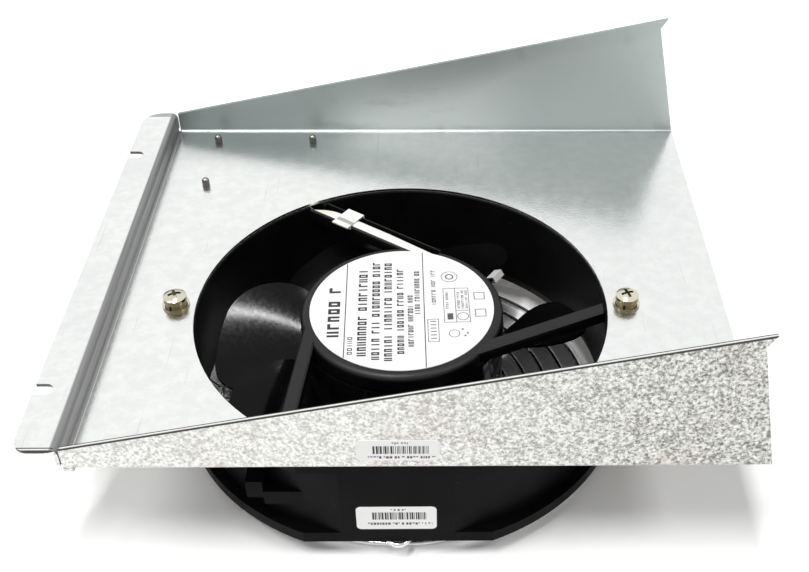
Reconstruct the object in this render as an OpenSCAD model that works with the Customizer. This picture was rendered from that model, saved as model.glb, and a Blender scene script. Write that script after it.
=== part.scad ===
// Cooling fan in a sheet-metal tray bracket, with a wire finger guard.
// Millimetres. The origin is on the fan's axis, at the underside of the bracket's plate.
// +X runs to the bracket's open end, +Y to its back wall and +Z up, out of the fan.

/* [Bracket sheet] */
// Thickness of the bracket's sheet
sheet_t = 1.2; // [0.8:0.1:1.6]
// Inside radius of every fold
bend_r = 1.2; // [0.8:0.1:2]
// Gap from the fan's bore to the opening's edge, all round
opening_gap = 0.5; // [0.2:0.1:2]
// Distance from the opening's edge to the front wall's outside
front_margin = 3.6; // [3.4:0.1:8]
// Distance from the opening's edge to the step's face
step_margin = 27.6; // [20:0.1:40]
// Distance from the opening's edge to the back wall's outside
back_margin = 46.6; // [42:0.1:60]
// Distance from the opening's edge to the open end
open_margin = 42.6; // [40:0.1:60]

/* [Side walls] */
// Height of the walls at the step, over the flange's top
wall_over_flange = 0.4; // [0.2:0.1:2]
// Slope of the walls' top edge, in degrees
wall_slope = 12.1; // [9:0.1:14]
// Distance that the walls' end edge leans back
end_back = 10.8; // [5:0.1:15]
// Drop from the beak's tip to the top of the end edge
beak_drop = 4.3; // [1:0.1:8]
// Reach of the beak past the end edge
beak_w = 2.7; // [1.5:0.1:4]

/* [Slotted flange] */
// Rise from the plate to the flange
flange_rise = 8; // [6:0.5:12]
// Width of the flange, from the step's face
flange_w = 14; // [12:0.5:24]
// Radius of the flange's front corner
flange_front_r = 5; // [2:0.5:7]
// Radius of the flange's back corner
flange_back_r = 8; // [2:0.5:9]
// Width of a slot in the flange
slot_w = 4.9; // [4:0.1:6]
// Depth of a slot, from the flange's edge
slot_d = 6; // [5:0.1:8]
// Distance between the two slots
slot_pitch = 138.2; // [120:0.2:150]
// Shift of the slots from the tray's middle, towards the front
slot_shift = 3.6; // [0:0.1:6]

/* [Studs] */
// Diameter of a stud
stud_d = 3; // [2.5:0.1:4]
// Height of a stud over the plate
stud_h = 3.6; // [3:0.1:8]
// Distance of the corner stud from the step's face
stud_from_step = 18.7; // [12:0.1:24]
// Distance of the corner stud from the back wall's outside
stud_from_back = 10.7; // [8:0.1:14]
// Distance between the studs along X
stud_pitch_x = 40.9; // [20:0.1:60]
// Distance between the studs along Y
stud_pitch_y = 33.4; // [10:0.1:35]

/* [Fan frame] */
// Depth of the frame
frame_h = 38; // [34:1:46]
// Outside radius of the barrel
barrel_r = 77.2; // [70:0.1:84]
// Thickness of the barrel's wall
barrel_t = 3.8; // [3.2:0.1:5]
// Depth of the two flats in the barrel
flat_cut = 2.2; // [1.2:0.1:2.6]
// Width of the flanges outside the barrel
flange_out = 4; // [3:0.1:6]
// Thickness of a flange
flange_t = 4.5; // [3.5:0.1:6]
// Width of the flare in the barrel's mouth at the bottom
mouth_flare = 1.2; // [0.4:0.1:1.4]
// Depth of the mouth's flare
mouth_h = 4; // [2:0.5:6]
// Distance of the screws inside the flange's edge
screw_in = 0.2; // [0:0.1:1]
// Diameter of the screw holes
screw_hole_d = 4.5; // [4.3:0.1:5]
// Radius of the ears round the screws
ear_r = 5; // [4.5:0.1:6]
// Width of the lug on the barrel's front
lug_w = 15; // [8:0.5:20]
// Height of the lug on the barrel's front
lug_h = 5.9; // [4:0.1:8]

/* [Struts and motor mount] */
// Depth of the struts and the dish below the frame's top
top_gap = 0.5; // [0.4:0.1:1]
// Direction of the first strut, in degrees
strut_deg = 25.2; // [0:0.1:60]
// Distance from a strut's inner edge to the dish's edge
strut_in = 8.2; // [7.6:0.1:16]
// Width of a plain strut
strut_w = 5; // [4:0.1:6]
// Width of the strut that carries the lead
channel_w = 8; // [7.4:0.1:9]
// Height of a strut
strut_h = 5; // [4.6:0.1:5.4]
// Overhang of the motor's mounting dish over the rotor's cup
dish_over = 0.6; // [0.2:0.1:1]
// Rounding of the dish's rim
rim_round = 2.4; // [1:0.1:2.6]
// Thickness of the dish's plate
dish_t = 2.6; // [2.4:0.1:3]
// Depth of the dish, down to the edge of its skirt
dish_h = 6.4; // [5:0.1:6.6]
// Margin round the motor label, to the dish's edge
label_margin = 3.4; // [2.6:0.1:6]

/* [Impeller] */
// Number of blades
blade_count = 7; // [5:1:7]
// Direction of the first blade's middle, in degrees
blade_deg = 12.1; // [0:0.1:51]
// Gap from the blades' tips to the bore
tip_gap = 3; // [1.4:0.1:5]
// Outside radius of the rotor's cup
cup_r = 36; // [34:0.1:38]
// Thickness of the band that the blades are welded to
band_t = 0.9; // [0.6:0.1:1]
// Thickness of a blade's sheet
blade_t = 1.2; // [0.8:0.1:1.4]

/* [Motor] */
// Thickness of the rotor's core ring
core_t = 7.5; // [6:0.1:9]
// Radial gap between the stator and the rotor's core
air_gap = 0.4; // [0.3:0.05:0.6]
// Number of stator teeth
tooth_count = 8; // [6:2:8]
// Radius of the shaft
shaft_r = 2.5; // [2.3:0.1:2.6]
// Outside radius of a bearing
bearing_r = 6.5; // [6.2:0.1:7]
// Height of a bearing
bearing_h = 4; // [3:0.1:4.5]
// Number of balls in a bearing
ball_count = 7; // [6:1:8]

/* [Screws] */
// Diameter of a screw's shank
shank_d = 3.92; // [3.7:0.02:4]
// Diameter of a screw's head
head_d = 8.2; // [7.4:0.1:9]
// Height of a screw's head
head_h = 3.1; // [2.4:0.1:3.4]
// Diameter of a flat washer
washer_d = 9.6; // [9:0.1:11]
// Thickness of a flat washer
washer_t = 0.9; // [0.6:0.1:1.2]
// Diameter of a spring washer
spring_d = 7.4; // [7:0.1:8]
// Thickness of a spring washer
spring_t = 1.3; // [0.9:0.1:1.5]
// Width of a nut across its flats
nut_af = 7; // [6.8:0.1:7.4]
// Height of a nut
nut_h = 3.2; // [2.4:0.1:3.4]

/* [Finger guard] */
// Number of rings
ring_count = 8; // [5:1:8]
// Distance of the outer ring inside the bore
ring_in = 2.7; // [2.4:0.1:6]
// Distance from ring to ring
ring_pitch = 7.6; // [7:0.1:8]
// Diameter of a ring's wire
ring_d = 1.8; // [1.5:0.1:2.2]
// Diameter of a leg's wire
leg_d = 1.9; // [1.6:0.1:2.2]
// Inside diameter of a leg's screw loop
loop_d = 4.9; // [4.5:0.1:5.4]
// Drop of the legs from their loops to the rings
leg_drop = 4.2; // [3.6:0.1:6]
// Distance of the free loops inside the frame's flats
free_loop_in = 2.6; // [1.5:0.1:4]

/* [Lead] */
// Width of the flat lead sleeve on the strut
sleeve_w = 4.8; // [3.6:0.1:5.2]
// Thickness of the flat lead sleeve
sleeve_t = 3; // [2:0.1:3]
// Diameter of the free lead
cord_d = 3.8; // [3:0.1:4]
// Radius of the coil's outer turn, to the middle of the lead
coil_r = 24; // [22:0.5:28]
// Distance from turn to turn in the coil
coil_pitch = 4.8; // [4.5:0.1:6]

/* [Hidden] */
$fn = 96;

// One overrun serves every cut, and one fine step keeps seated faces apart
over = 1;
seat = 0.05;

// Bracket places
bend_out = bend_r + sheet_t;
bore_r = barrel_r - barrel_t;
opening_r = bore_r + opening_gap;
front_y = -opening_r - front_margin;
back_y = opening_r + back_margin;
tray_w = back_y - front_y;
step_x = -opening_r - step_margin;
open_x = opening_r + open_margin;
mid_y = (front_y + back_y) / 2;
flange_top = flange_rise + sheet_t;
flange_x = step_x - flange_w;
wall_gap = 0.5;
wall_x = step_x + wall_gap;
wall_low = flange_top + wall_over_flange;
wall_top_x = open_x - end_back;
beak_x = wall_top_x + beak_w;
beak_z = wall_low + (beak_x - wall_x) * tan(wall_slope);
wall_end_h = beak_z - beak_drop;
slot_end_x = flange_x + slot_d - slot_w / 2;
stud_x = step_x + stud_from_step;
stud_y = back_y - stud_from_back;
stud_places = [[stud_x, stud_y], [stud_x + stud_pitch_x, stud_y], [stud_x, stud_y - stud_pitch_y]];
stud_head_rim = 0.8;
stud_head_r = stud_d / 2 + stud_head_rim;
stud_head_t = sheet_t / 2;
stud_neck = 0.1;
stud_undercut = 0.3;

// Stickers
sticker_t = 0.15;
sticker_corner = 1.6;
wall_sticker_w = 25.4;
wall_sticker_h = 8.9;
wall_sticker_x = 1.2;
wall_sticker_z = 8.8;
apron_sticker_w = 26;
apron_sticker_h = 11;
apron_sticker_x = -0.3;
apron_sticker_z = -26;

// Fan frame places
flat_y = barrel_r - flat_cut;
flange_r = barrel_r + flange_out;
mouth_r = bore_r + mouth_flare;
wall_mid_r = (bore_r + barrel_r) / 2;
screw_x = flange_r - screw_in;
bore_break = 0.5;
ear_blend_deg = 50;
ear_blend_l = 7.3;
lug_x = -43;
lug_top = -17.7;
lug_back = 4;
lug_y = lug_back - flat_y;
lug_root = 20;
lug_end_w = 5.4;
lug_end_h = 7.3;
lug_end_top = -13;

// Struts, dish and channel
dish_r = cup_r + dish_over;
label_r = dish_r - label_margin;
strut_off = dish_r - strut_in;
plate_z = -top_gap - dish_t;
skirt_z = -top_gap - dish_h;
skirt_t = 2;
strut_break = 0.6;
strut_start = 8;
strut_step = 120;
channel_floor = -3.6;
rim_wall = 1;
near_wall = 0.6;
sleeve_off = strut_off + near_wall + seat;
sleeve_mid = sleeve_off + sleeve_w / 2;
sleeve_start = 8;
channel_far = strut_off + channel_w - rim_wall;
channel_end = sqrt(pow(bore_r, 2) - pow(channel_far, 2)) - near_wall;
clip_from_end = 13.7;
boss_r = 11;
boss_h = 3;
label_t = 0.3;
wire_d = 1.6;
wire_gap = 0.3;
wire_s = sleeve_start + wire_d + 2 * wire_gap;
wire_turn_r = (wire_d + wire_gap) / 2;

// Motor heights, from the top down
cup_rise = 1.5;
band_rise = 3.5;
tube_rise = 4.5;
stack_room = 25;
band_top = -8;
band_bottom = band_rise - frame_h;
cup_top = -8.4;
cup_bottom = cup_rise - frame_h;
cup_t = 1.5;
stator_r = cup_r - cup_t - core_t - air_gap;
cup_floor_t = 1.6;
cup_boss_r = 6.4;
cup_boss_h = 2.4;
stack_top = -15;
stack_h = frame_h - stack_room;
stack_bottom = stack_top - stack_h;
insulator_t = 1;
coil_head = 2.6;
coil_t = 2.2;
tooth_w = 4.6;
tooth_tip_t = 2;
slot_mouth = 2.2;
yoke_r = 12.4;
winding_in_r = 13.4;
winding_tip = 3.6;
winding_out_r = stator_r - winding_tip;
core_extra = 1;
tube_r = bearing_r + 1;
tube_bottom = cup_bottom + tube_rise;
tube_stop_r = bearing_r - 1;
upper_bearing_z = -12;
tube_lip = 0.4;
lower_bearing_z = tube_bottom + tube_lip;
race_t = 1.2;
inner_race_r = shaft_r + race_t;
outer_race_r = bearing_r - race_t;
ball_play = 0.02;
ball_r = (outer_race_r - inner_race_r) / 2 - ball_play;
ball_path_r = (outer_race_r + inner_race_r) / 2;
spring_h = 1.4;
spring_wall = 1.6;
shaft_top = -6.2;
ring_t = 0.6;
ring_out_r = 4.4;
spacer_r = 3.6;
protector_l = 12;
protector_w = 6;
protector_h = 3.4;
protector_r = (winding_in_r + winding_out_r) / 2;
protector_deg = 0;

// Blade form: a helical sheet between two swept edges with rounded tip corners
root_r = cup_r + band_t + seat;
tip_r = bore_r - tip_gap;
blade_drop = 3.8;
blade_z = -frame_h / 2 - blade_drop;
blade_fall_share = 0.01303;
blade_fall = blade_fall_share * frame_h;
blade_camber = 0.0015;
blade_rake = 0.2;
lead_deg = -20.4;
lead_sweep = 0;
tail_deg = 22.2;
tail_sweep = 0.3;
edge_ref_r = 55;
lead_corner_r = 25;
tail_corner_r = 14.5;
root_corner_r = 5;
blade_rows = 14;
blade_cols = 8;
row_crowding = 1.6;
blade_step = 360 / blade_count;
clip_in = 4.2;
clip_row_r = (root_r + tip_r) / 2 - clip_in;
clip_w = 8.6;
clip_reach = 4.4;
clip_t = 0.7;
clip_play = 0.2;
clip_back = 0.35;

// Screw stack
washer_z = sheet_t;
spring_z = washer_z + washer_t;
head_z = spring_z + spring_t;
loop_z = -frame_h - leg_d / 2;
nut_z = loop_z - leg_d / 2 - nut_h;
nut_half_deg = 30;
tip_out = 1;
tip_z = nut_z - tip_out;
cross_w = 1.1;
cross_l = 4.6;
cross_d = 1.6;
cross_deg = 20;
split_w = 0.8;
split_deg = 250;
head_dome = 1.2;

// Finger guard
loop_r = (loop_d + leg_d) / 2;
low_z = loop_z - leg_drop;
rings_z = low_z - (leg_d + ring_d) / 2;
floor_z = rings_z - ring_d / 2;
knee_run = 5;
knee_drop_run = 4;
knee_swell = 0.04;
ring_r = bore_r - ring_in;
ring_in_r = ring_r - (ring_count - 1) * ring_pitch;
free_loop_y = flat_y - free_loop_in;

// Route of the free lead, in round numbers, from its exit under the plate to the coil
exit_in = 1.2;
exit_s = flange_r - exit_in;
exit_dir = strut_deg + strut_step;
exit_x = sleeve_mid * sin(exit_dir) + exit_s * cos(exit_dir);
exit_y = -sleeve_mid * cos(exit_dir) + exit_s * sin(exit_dir);
exit_z = channel_floor + sleeve_t / 2;
coil_from_exit = [-26.1, 12.8];
coil_x = exit_x + coil_from_exit[0];
coil_y = exit_y + coil_from_exit[1];
cord_z = floor_z + cord_d / 2;
coil_start_deg = 100;
coil_turn_deg = 450;
curl_r = 9.5;
curl_deg = 100;
cord_sides = 8;
coil_sides = 6;
coil_rings = 24;
cord_straight = 4.5;
cord_steps = [[-6.6, 5.3, 0.04], [-9.6, 9.3, 0.14], [-11.1, 14.8, 0.29], [-10.6, 20.8, 0.47],
    [-10.1, 26.8, 0.66], [-10.6, 31.8, 0.82], [-12.6, 35.8, 0.93], [-16.6, 37.8, 0.986]];
plug_l = 12;
plug_w = 7;
plug_h = 5;
plug_nose_l = 2;
plug_nose_in = 1;

/* Helpers */

function pol(r, a) = [r * cos(a), r * sin(a)];
function pick(list, i) = list[max(0, min(len(list) - 1, i))];
function unit(v) = v / norm(v);

// A closed tube along a list of points, with flat ends square to the route
function tube_dir(path, i) = unit(pick(path, i + 1) - pick(path, i - 1));
function tube_ring(path, i, r, sides) =
    let (d = tube_dir(path, i), s = unit(cross([0, 0, 1], d)), u = cross(d, s))
    [for (k = [0 : sides - 1]) path[i] + r * cos(360 * k / sides + 180 / sides) * s
        + r * sin(360 * k / sides + 180 / sides) * u];

module tube_along(path, r, sides) {
    n = len(path);
    points = [for (i = [0 : n - 1]) each tube_ring(path, i, r, sides)];
    skin = [for (i = [0 : n - 2], k = [0 : sides - 1]) let (m = (k + 1) % sides) each [
        [i * sides + k, (i + 1) * sides + m, i * sides + m],
        [i * sides + k, (i + 1) * sides + k, (i + 1) * sides + m]]];
    first = [for (k = [1 : sides - 2]) [0, k, k + 1]];
    last = [for (k = [1 : sides - 2]) [(n - 1) * sides, (n - 1) * sides + k + 1, (n - 1) * sides + k]];
    polyhedron(points, concat(skin, first, last));
}

// A straight round rod from a to b
module rod(a, b, d) {
    v = b - a;
    translate(a) rotate([0, acos(v[2] / norm(v)), atan2(v[1], v[0])]) cylinder(h = norm(v), d = d, $fn = 32);
}

// A box with its lowest corner at p
module block(p, size) {
    translate(p) cube(size);
}

module ring(r_in, r_out, z, h) {
    translate([0, 0, z]) difference() {
        cylinder(h = h, r = r_out);
        translate([0, 0, -over]) cylinder(h = h + 2 * over, r = r_in);
    }
}

module at_screws() {
    for (s = [-1, 1]) translate([s * screw_x, 0, 0]) children();
}

/* Bracket */

module fold_ring(quadrant) {
    intersection() {
        difference() {
            circle(r = bend_out, $fn = 48);
            circle(r = bend_r, $fn = 48);
        }
        translate([quadrant[0] < 0 ? -bend_out : 0, quadrant[1] < 0 ? -bend_out : 0]) square(bend_out);
    }
}

// Step and flange in section: x across, y up
module step_section() {
    translate([step_x + bend_r, bend_out]) fold_ring([-1, -1]);
    translate([step_x + bend_r, 0]) square([bend_out, sheet_t]);
    translate([step_x - sheet_t, bend_out]) square([sheet_t, flange_rise - bend_r - bend_out]);
    translate([step_x - bend_out, flange_rise - bend_r]) fold_ring([1, 1]);
    translate([flange_x, flange_rise]) square([flange_w - bend_out, sheet_t]);
}

// Plate and both walls in section: x to the back, y up
module tray_section() {
    translate([front_y + bend_out, 0]) square([tray_w - 2 * bend_out, sheet_t]);
    translate([front_y + bend_out, bend_out]) fold_ring([-1, -1]);
    translate([back_y - bend_out, bend_out]) fold_ring([1, -1]);
    translate([front_y, bend_out]) square([sheet_t, beak_z - bend_out]);
    translate([back_y - sheet_t, bend_out]) square([sheet_t, beak_z - bend_out]);
}

module wall_outline() {
    polygon([[wall_x, 0], [open_x, 0], [wall_top_x, wall_end_h], [beak_x, beak_z], [wall_x, wall_low]]);
}

module corner_cut(x, y, r, dir) {
    translate([x, y, flange_rise - over]) difference() {
        translate([-over, dir > 0 ? 0 : -r - over, 0]) cube([r + over, r + over, sheet_t + 2 * over]);
        translate([r, 0, -over]) cylinder(h = sheet_t + 4 * over, r = r);
    }
}

module flange_slot(y) {
    translate([0, y, flange_rise - over]) {
        translate([slot_end_x, 0, 0]) cylinder(h = sheet_t + 2 * over, d = slot_w);
        block([flange_x - over, -slot_w / 2, 0], [slot_end_x - flange_x + over, slot_w, sheet_t + 2 * over]);
    }
}

module mounting_bracket() {
    relief_w = bend_out + wall_gap;
    color("gainsboro") difference() {
        union() {
            intersection() {
                translate([wall_x, 0, 0]) rotate([90, 0, 90])
                    linear_extrude(open_x - wall_x) tray_section();
                translate([0, back_y + over, 0]) rotate([90, 0, 0])
                    linear_extrude(tray_w + 2 * over) wall_outline();
            }
            translate([0, back_y, 0]) rotate([90, 0, 0]) linear_extrude(tray_w) step_section();
        }
        translate([0, 0, -over]) cylinder(h = sheet_t + 2 * over, r = opening_r, $fn = 180);
        at_screws() translate([0, 0, -over]) cylinder(h = sheet_t + 2 * over, d = screw_hole_d);
        for (y = [front_y - over, back_y - bend_out])
            block([step_x - bend_out, y, -over], [relief_w, bend_out + over, bend_out + over]);
        corner_cut(flange_x, front_y + flange_front_r, flange_front_r, -1);
        corner_cut(flange_x, back_y - flange_back_r, flange_back_r, 1);
        flange_slot(mid_y - slot_shift + slot_pitch / 2);
        flange_slot(mid_y - slot_shift - slot_pitch / 2);
        for (p = stud_places) translate([p[0], p[1], 0]) {
            translate([0, 0, -over]) cylinder(h = sheet_t + 2 * over, d = stud_d + 2 * seat);
            translate([0, 0, -over]) cylinder(h = stud_head_t + over, r = stud_head_r + seat);
        }
    }
}

module clinch_studs() {
    color("silver") for (p = stud_places) translate([p[0], p[1], 0]) {
        foot = sheet_t + stud_neck;
        straight = sheet_t + stud_h - stud_d / 2;
        cylinder(h = stud_head_t, r = stud_head_r);
        cylinder(h = foot, d = stud_d - 2 * stud_undercut);
        translate([0, 0, foot]) cylinder(h = straight - foot, d = stud_d);
        translate([0, 0, straight]) intersection() {
            sphere(d = stud_d);
            translate([-stud_d, -stud_d, 0]) cube(2 * stud_d);
        }
    }
}

module sticker(w, h, x, y, z) {
    corner = sticker_corner;
    translate([x, y, z]) rotate([90, 0, 0]) linear_extrude(sticker_t) {
        square([w - 2 * corner, h], center = true);
        square([w, h - 2 * corner], center = true);
        for (i = [-1, 1], j = [-1, 1]) translate([i * (w / 2 - corner), j * (h / 2 - corner)])
            circle(r = corner, $fn = 32);
    }
}

module bracket_sticker() {
    color("white") sticker(wall_sticker_w, wall_sticker_h, wall_sticker_x, front_y, wall_sticker_z);
}

/* Fan frame */

module barrel_section() {
    polygon([[bore_r, -bore_break], [bore_r + bore_break, 0], [flange_r, 0], [flange_r, -flange_t],
        [barrel_r, -flange_t], [barrel_r, flange_t - frame_h], [flange_r, flange_t - frame_h],
        [flange_r, -frame_h], [mouth_r, -frame_h], [bore_r, mouth_h - frame_h]]);
}

module ear_outline() {
    tangent = pol(ear_r, ear_blend_deg);
    foot = tangent + ear_blend_l * [-sin(ear_blend_deg), cos(ear_blend_deg)];
    circle(r = ear_r);
    polygon([tangent, foot, [-ear_r, foot[1]], [-ear_r, -foot[1]], [foot[0], -foot[1]],
        [tangent[0], -tangent[1]]]);
}

module ears(z) {
    for (a = [0, 180]) rotate([0, 0, a]) translate([screw_x, 0, z]) linear_extrude(flange_t) ear_outline();
}

module strut(k, w) {
    b = strut_break;
    rotate([0, 0, strut_deg + k * strut_step]) translate([strut_start, -strut_off - w, -top_gap - strut_h])
        rotate([90, 0, 90]) linear_extrude(bore_r)
            polygon([[0, 0], [w, 0], [w, strut_h - b], [w - b, strut_h], [b, strut_h], [0, strut_h - b]]);
}

// The struts end in the middle of the barrel's wall
module struts() {
    intersection() {
        union() {
            strut(0, strut_w);
            strut(1, channel_w);
            strut(2, strut_w);
        }
        translate([0, 0, -frame_h]) cylinder(h = frame_h, r = wall_mid_r, $fn = 180);
    }
}

module dish_section() {
    round_r = dish_r - rim_round;
    round_z = -top_gap - rim_round;
    polygon([[0, -top_gap], [round_r, -top_gap], [round_r, round_z], [dish_r, round_z], [dish_r, skirt_z],
        [dish_r - skirt_t, skirt_z], [dish_r - skirt_t, plate_z], [boss_r, plate_z],
        [boss_r, plate_z - boss_h], [tube_r, plate_z - boss_h], [tube_r, plate_z], [0, plate_z]]);
    translate([round_r, round_z]) intersection() {
        circle(r = rim_round);
        square(rim_round);
    }
}

// The channel in the strut, its narrower way out through the barrel, and the hole for the wires
module channel_cut() {
    depth = over - channel_floor;
    start = strut_start - near_wall;
    hole_l = 2 * wire_d + 3 * wire_gap;
    hole_w = wire_d + 2 * wire_gap;
    rotate([0, 0, exit_dir]) {
        block([start, -channel_far, channel_floor],
            [channel_end - start, channel_far - strut_off - near_wall, depth]);
        block([channel_end - over, -sleeve_off - sleeve_w - seat, channel_floor],
            [flange_r, sleeve_w + 2 * seat, depth]);
        block([wire_s - hole_l / 2, -sleeve_mid - hole_w / 2, -top_gap - strut_h - over],
            [hole_l, hole_w, strut_h + over]);
    }
}

module lug() {
    difference() {
        union() {
            block([lug_x, lug_y, lug_top - lug_h], [lug_w, lug_root, lug_h]);
            block([lug_x - lug_end_w, lug_y, lug_end_top - lug_end_h], [lug_end_w, lug_root, lug_end_h]);
        }
        translate([0, 0, -frame_h]) cylinder(h = frame_h, r = wall_mid_r, $fn = 180);
    }
}

module fan_frame() {
    color("dimgray") difference() {
        union() {
            intersection() {
                union() {
                    rotate_extrude($fn = 180) barrel_section();
                    lug();
                }
                translate([-2 * flange_r, -flat_y, -frame_h - over])
                    cube([4 * flange_r, 2 * flat_y, frame_h + 2 * over]);
            }
            difference() {
                union() {
                    ears(-flange_t);
                    ears(-frame_h);
                }
                translate([0, 0, -frame_h - over])
                    cylinder(h = frame_h + 2 * over, r = (barrel_r + flange_r) / 2, $fn = 180);
            }
            struts();
            rotate_extrude() dish_section();
        }
        channel_cut();
        at_screws() translate([0, 0, -frame_h - over])
            cylinder(h = frame_h + 2 * over, d = screw_hole_d);
    }
}

module motor_label() {
    color("white") translate([0, 0, -top_gap]) cylinder(h = label_t, r = label_r);
}

module frame_sticker() {
    color("white") sticker(apron_sticker_w, apron_sticker_h, apron_sticker_x, -flat_y, apron_sticker_z);
}

/* Lead */

module lead_sleeve() {
    r = sleeve_t / 2;
    color("ivory") rotate([0, 0, exit_dir]) translate([sleeve_start, -sleeve_mid, exit_z])
        rotate([90, 0, 90]) linear_extrude(exit_s - sleeve_start) {
            square([sleeve_w - 2 * r, sleeve_t], center = true);
            for (s = [-1, 1]) translate([s * (sleeve_w / 2 - r), 0]) circle(r = r, $fn = 32);
        }
}

// A flat clip over the sleeve, hooked round the strut's far side and short on the near side
module sleeve_clip() {
    clip_s = channel_end - clip_from_end;
    clip_l = 7.8;
    plate_t = 0.5;
    leg_gap = 0.05;
    tab_out = 2.1;
    near_leg_h = 1.2;
    lip = 1;
    groove_w = 1.9;
    groove_in = 0.3;
    leg_t = plate_t;
    far = -strut_off - channel_w - leg_gap - leg_t;
    near = -strut_off + leg_gap;
    foot_z = -top_gap - strut_h - lip;
    color("white") rotate([0, 0, exit_dir]) translate([clip_s - clip_l / 2, 0, 0]) difference() {
        union() {
            block([0, far, -top_gap], [clip_l, near + tab_out - far, plate_t]);
            block([0, far, foot_z], [clip_l, leg_t, -top_gap - foot_z]);
            block([0, far, foot_z], [clip_l, lip + leg_t, lip - leg_gap]);
            block([0, near, -top_gap - near_leg_h], [clip_l, leg_t, near_leg_h]);
        }
        block([-over, -strut_off - groove_in - groove_w, -top_gap + plate_t / 2],
            [clip_l + 2 * over, groove_w, plate_t]);
    }
}

module lead_wires() {
    top = channel_floor - seat;
    foot = stack_top + coil_head + seat;
    color("ivory") rotate([0, 0, exit_dir]) translate([wire_s, -sleeve_mid, foot])
        for (s = [-1, 1]) translate([s * wire_turn_r, 0, 0]) cylinder(h = top - foot, d = wire_d);
}

// The coil: a flat spiral that winds in, then curls to its middle
function coil_rad(a) = coil_r - coil_pitch * a / 360;
function coil_point(a) = concat([coil_x, coil_y] + pol(coil_rad(a), coil_start_deg + a), cord_z);
coil_end_deg = coil_start_deg + coil_turn_deg;
curl_mid = [coil_x, coil_y] + pol(coil_rad(coil_turn_deg) - curl_r, coil_end_deg);
function curl_point(a) = concat(curl_mid + pol(curl_r, coil_end_deg + a), cord_z);
coil_steps = ceil(coil_turn_deg / 360 * coil_rings);
curl_steps = ceil(curl_deg / 360 * coil_rings);
coil_lead_in = cord_d;
coil_skip = 6;
coil_head_dir = [-sin(coil_start_deg), cos(coil_start_deg), 0];
coil_tail_dir = concat(pol(1, coil_end_deg + curl_deg + 90), 0);
coil_head_end = coil_point(0) - coil_lead_in * coil_head_dir;
coil_tail_end = curl_point(curl_deg) + coil_lead_in * coil_tail_dir;
coil_path = concat([coil_head_end],
    [for (i = [0 : coil_steps]) coil_point(coil_turn_deg * i / coil_steps)],
    [for (i = [1 : curl_steps]) curl_point(curl_deg * i / curl_steps)],
    [coil_tail_end]);
exit_point = [exit_x, exit_y, exit_z];
cord_path = concat([exit_point, exit_point + cord_straight * [cos(exit_dir), sin(exit_dir), 0]],
    [for (p = cord_steps) exit_point + [p[0], p[1], p[2] * (cord_z - exit_z)]],
    [coil_head_end - cord_straight * coil_head_dir, coil_head_end]);

// Least distance between parts of the coil that are not neighbours along it
coil_clear = min([for (i = [0 : len(coil_path) - 1], j = [0 : len(coil_path) - 1])
    if (j > i + coil_skip) norm(coil_path[i] - coil_path[j])]) - cord_d;
echo(coil_least_gap = coil_clear);
coil_len = coil_lead_in * 2 + coil_turn_deg * PI / 180 * (coil_r + coil_rad(coil_turn_deg)) / 2
    + curl_deg * PI / 180 * curl_r;
function run_len(path) = len(path) < 2 ? 0 :
    norm(path[1] - path[0]) + run_len([for (i = [1 : len(path) - 1]) path[i]]);
echo(lead_length = run_len(cord_path) + coil_len);

module lead_cord() {
    color("ivory") tube_along(cord_path, cord_d / 2, cord_sides);
}

module lead_coil() {
    color("ivory") tube_along(coil_path, cord_d / 2, coil_sides);
}

module lead_plug() {
    nose_w = plug_w - 2 * plug_nose_in;
    nose_h = plug_h - 2 * plug_nose_in;
    color("white") translate([coil_tail_end[0], coil_tail_end[1], floor_z])
        rotate([0, 0, coil_end_deg + curl_deg + 90]) {
            block([0, -plug_w / 2, 0], [plug_l - plug_nose_l, plug_w, plug_h]);
            block([plug_l - plug_nose_l, -nose_w / 2, plug_nose_in], [plug_nose_l, nose_w, nose_h]);
        }
}

/* Screws */

module mounting_screws() {
    color("khaki") at_screws() difference() {
        union() {
            translate([0, 0, head_z]) cylinder(h = head_h - head_dome, d = head_d);
            translate([0, 0, head_z + head_h - head_dome]) intersection() {
                dome_r = (pow(head_d / 2, 2) + pow(head_dome, 2)) / (2 * head_dome);
                translate([0, 0, head_dome - dome_r]) sphere(r = dome_r);
                cylinder(h = head_dome, d = head_d);
            }
            translate([0, 0, tip_z]) cylinder(h = head_z - tip_z, d = shank_d);
        }
        for (a = [0, 90]) rotate([0, 0, a + cross_deg])
            block([-cross_l / 2, -cross_w / 2, head_z + head_h - cross_d],
                [cross_l, cross_w, cross_d + over]);
    }
}

module spring_washers() {
    color("khaki") at_screws() difference() {
        ring(shank_d / 2 + seat, spring_d / 2, spring_z, spring_t);
        rotate([0, 0, split_deg])
            block([0, -split_w / 2, spring_z - over], [spring_d, split_w, spring_t + 2 * over]);
    }
}

module flat_washers() {
    color("khaki") at_screws() ring(screw_hole_d / 2 - seat, washer_d / 2, washer_z, washer_t);
}

module mounting_nuts() {
    color("khaki") at_screws() difference() {
        translate([0, 0, nut_z]) cylinder(h = nut_h, d = nut_af / cos(nut_half_deg), $fn = 6);
        translate([0, 0, nut_z - over]) cylinder(h = nut_h + 2 * over, d = shank_d + 2 * seat);
    }
}

/* Finger guard */

module guard_rings() {
    color("silver") for (i = [0 : ring_count - 1]) translate([0, 0, rings_z])
        rotate_extrude($fn = 120) translate([ring_r - i * ring_pitch, 0]) circle(d = ring_d, $fn = 24);
}

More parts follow.
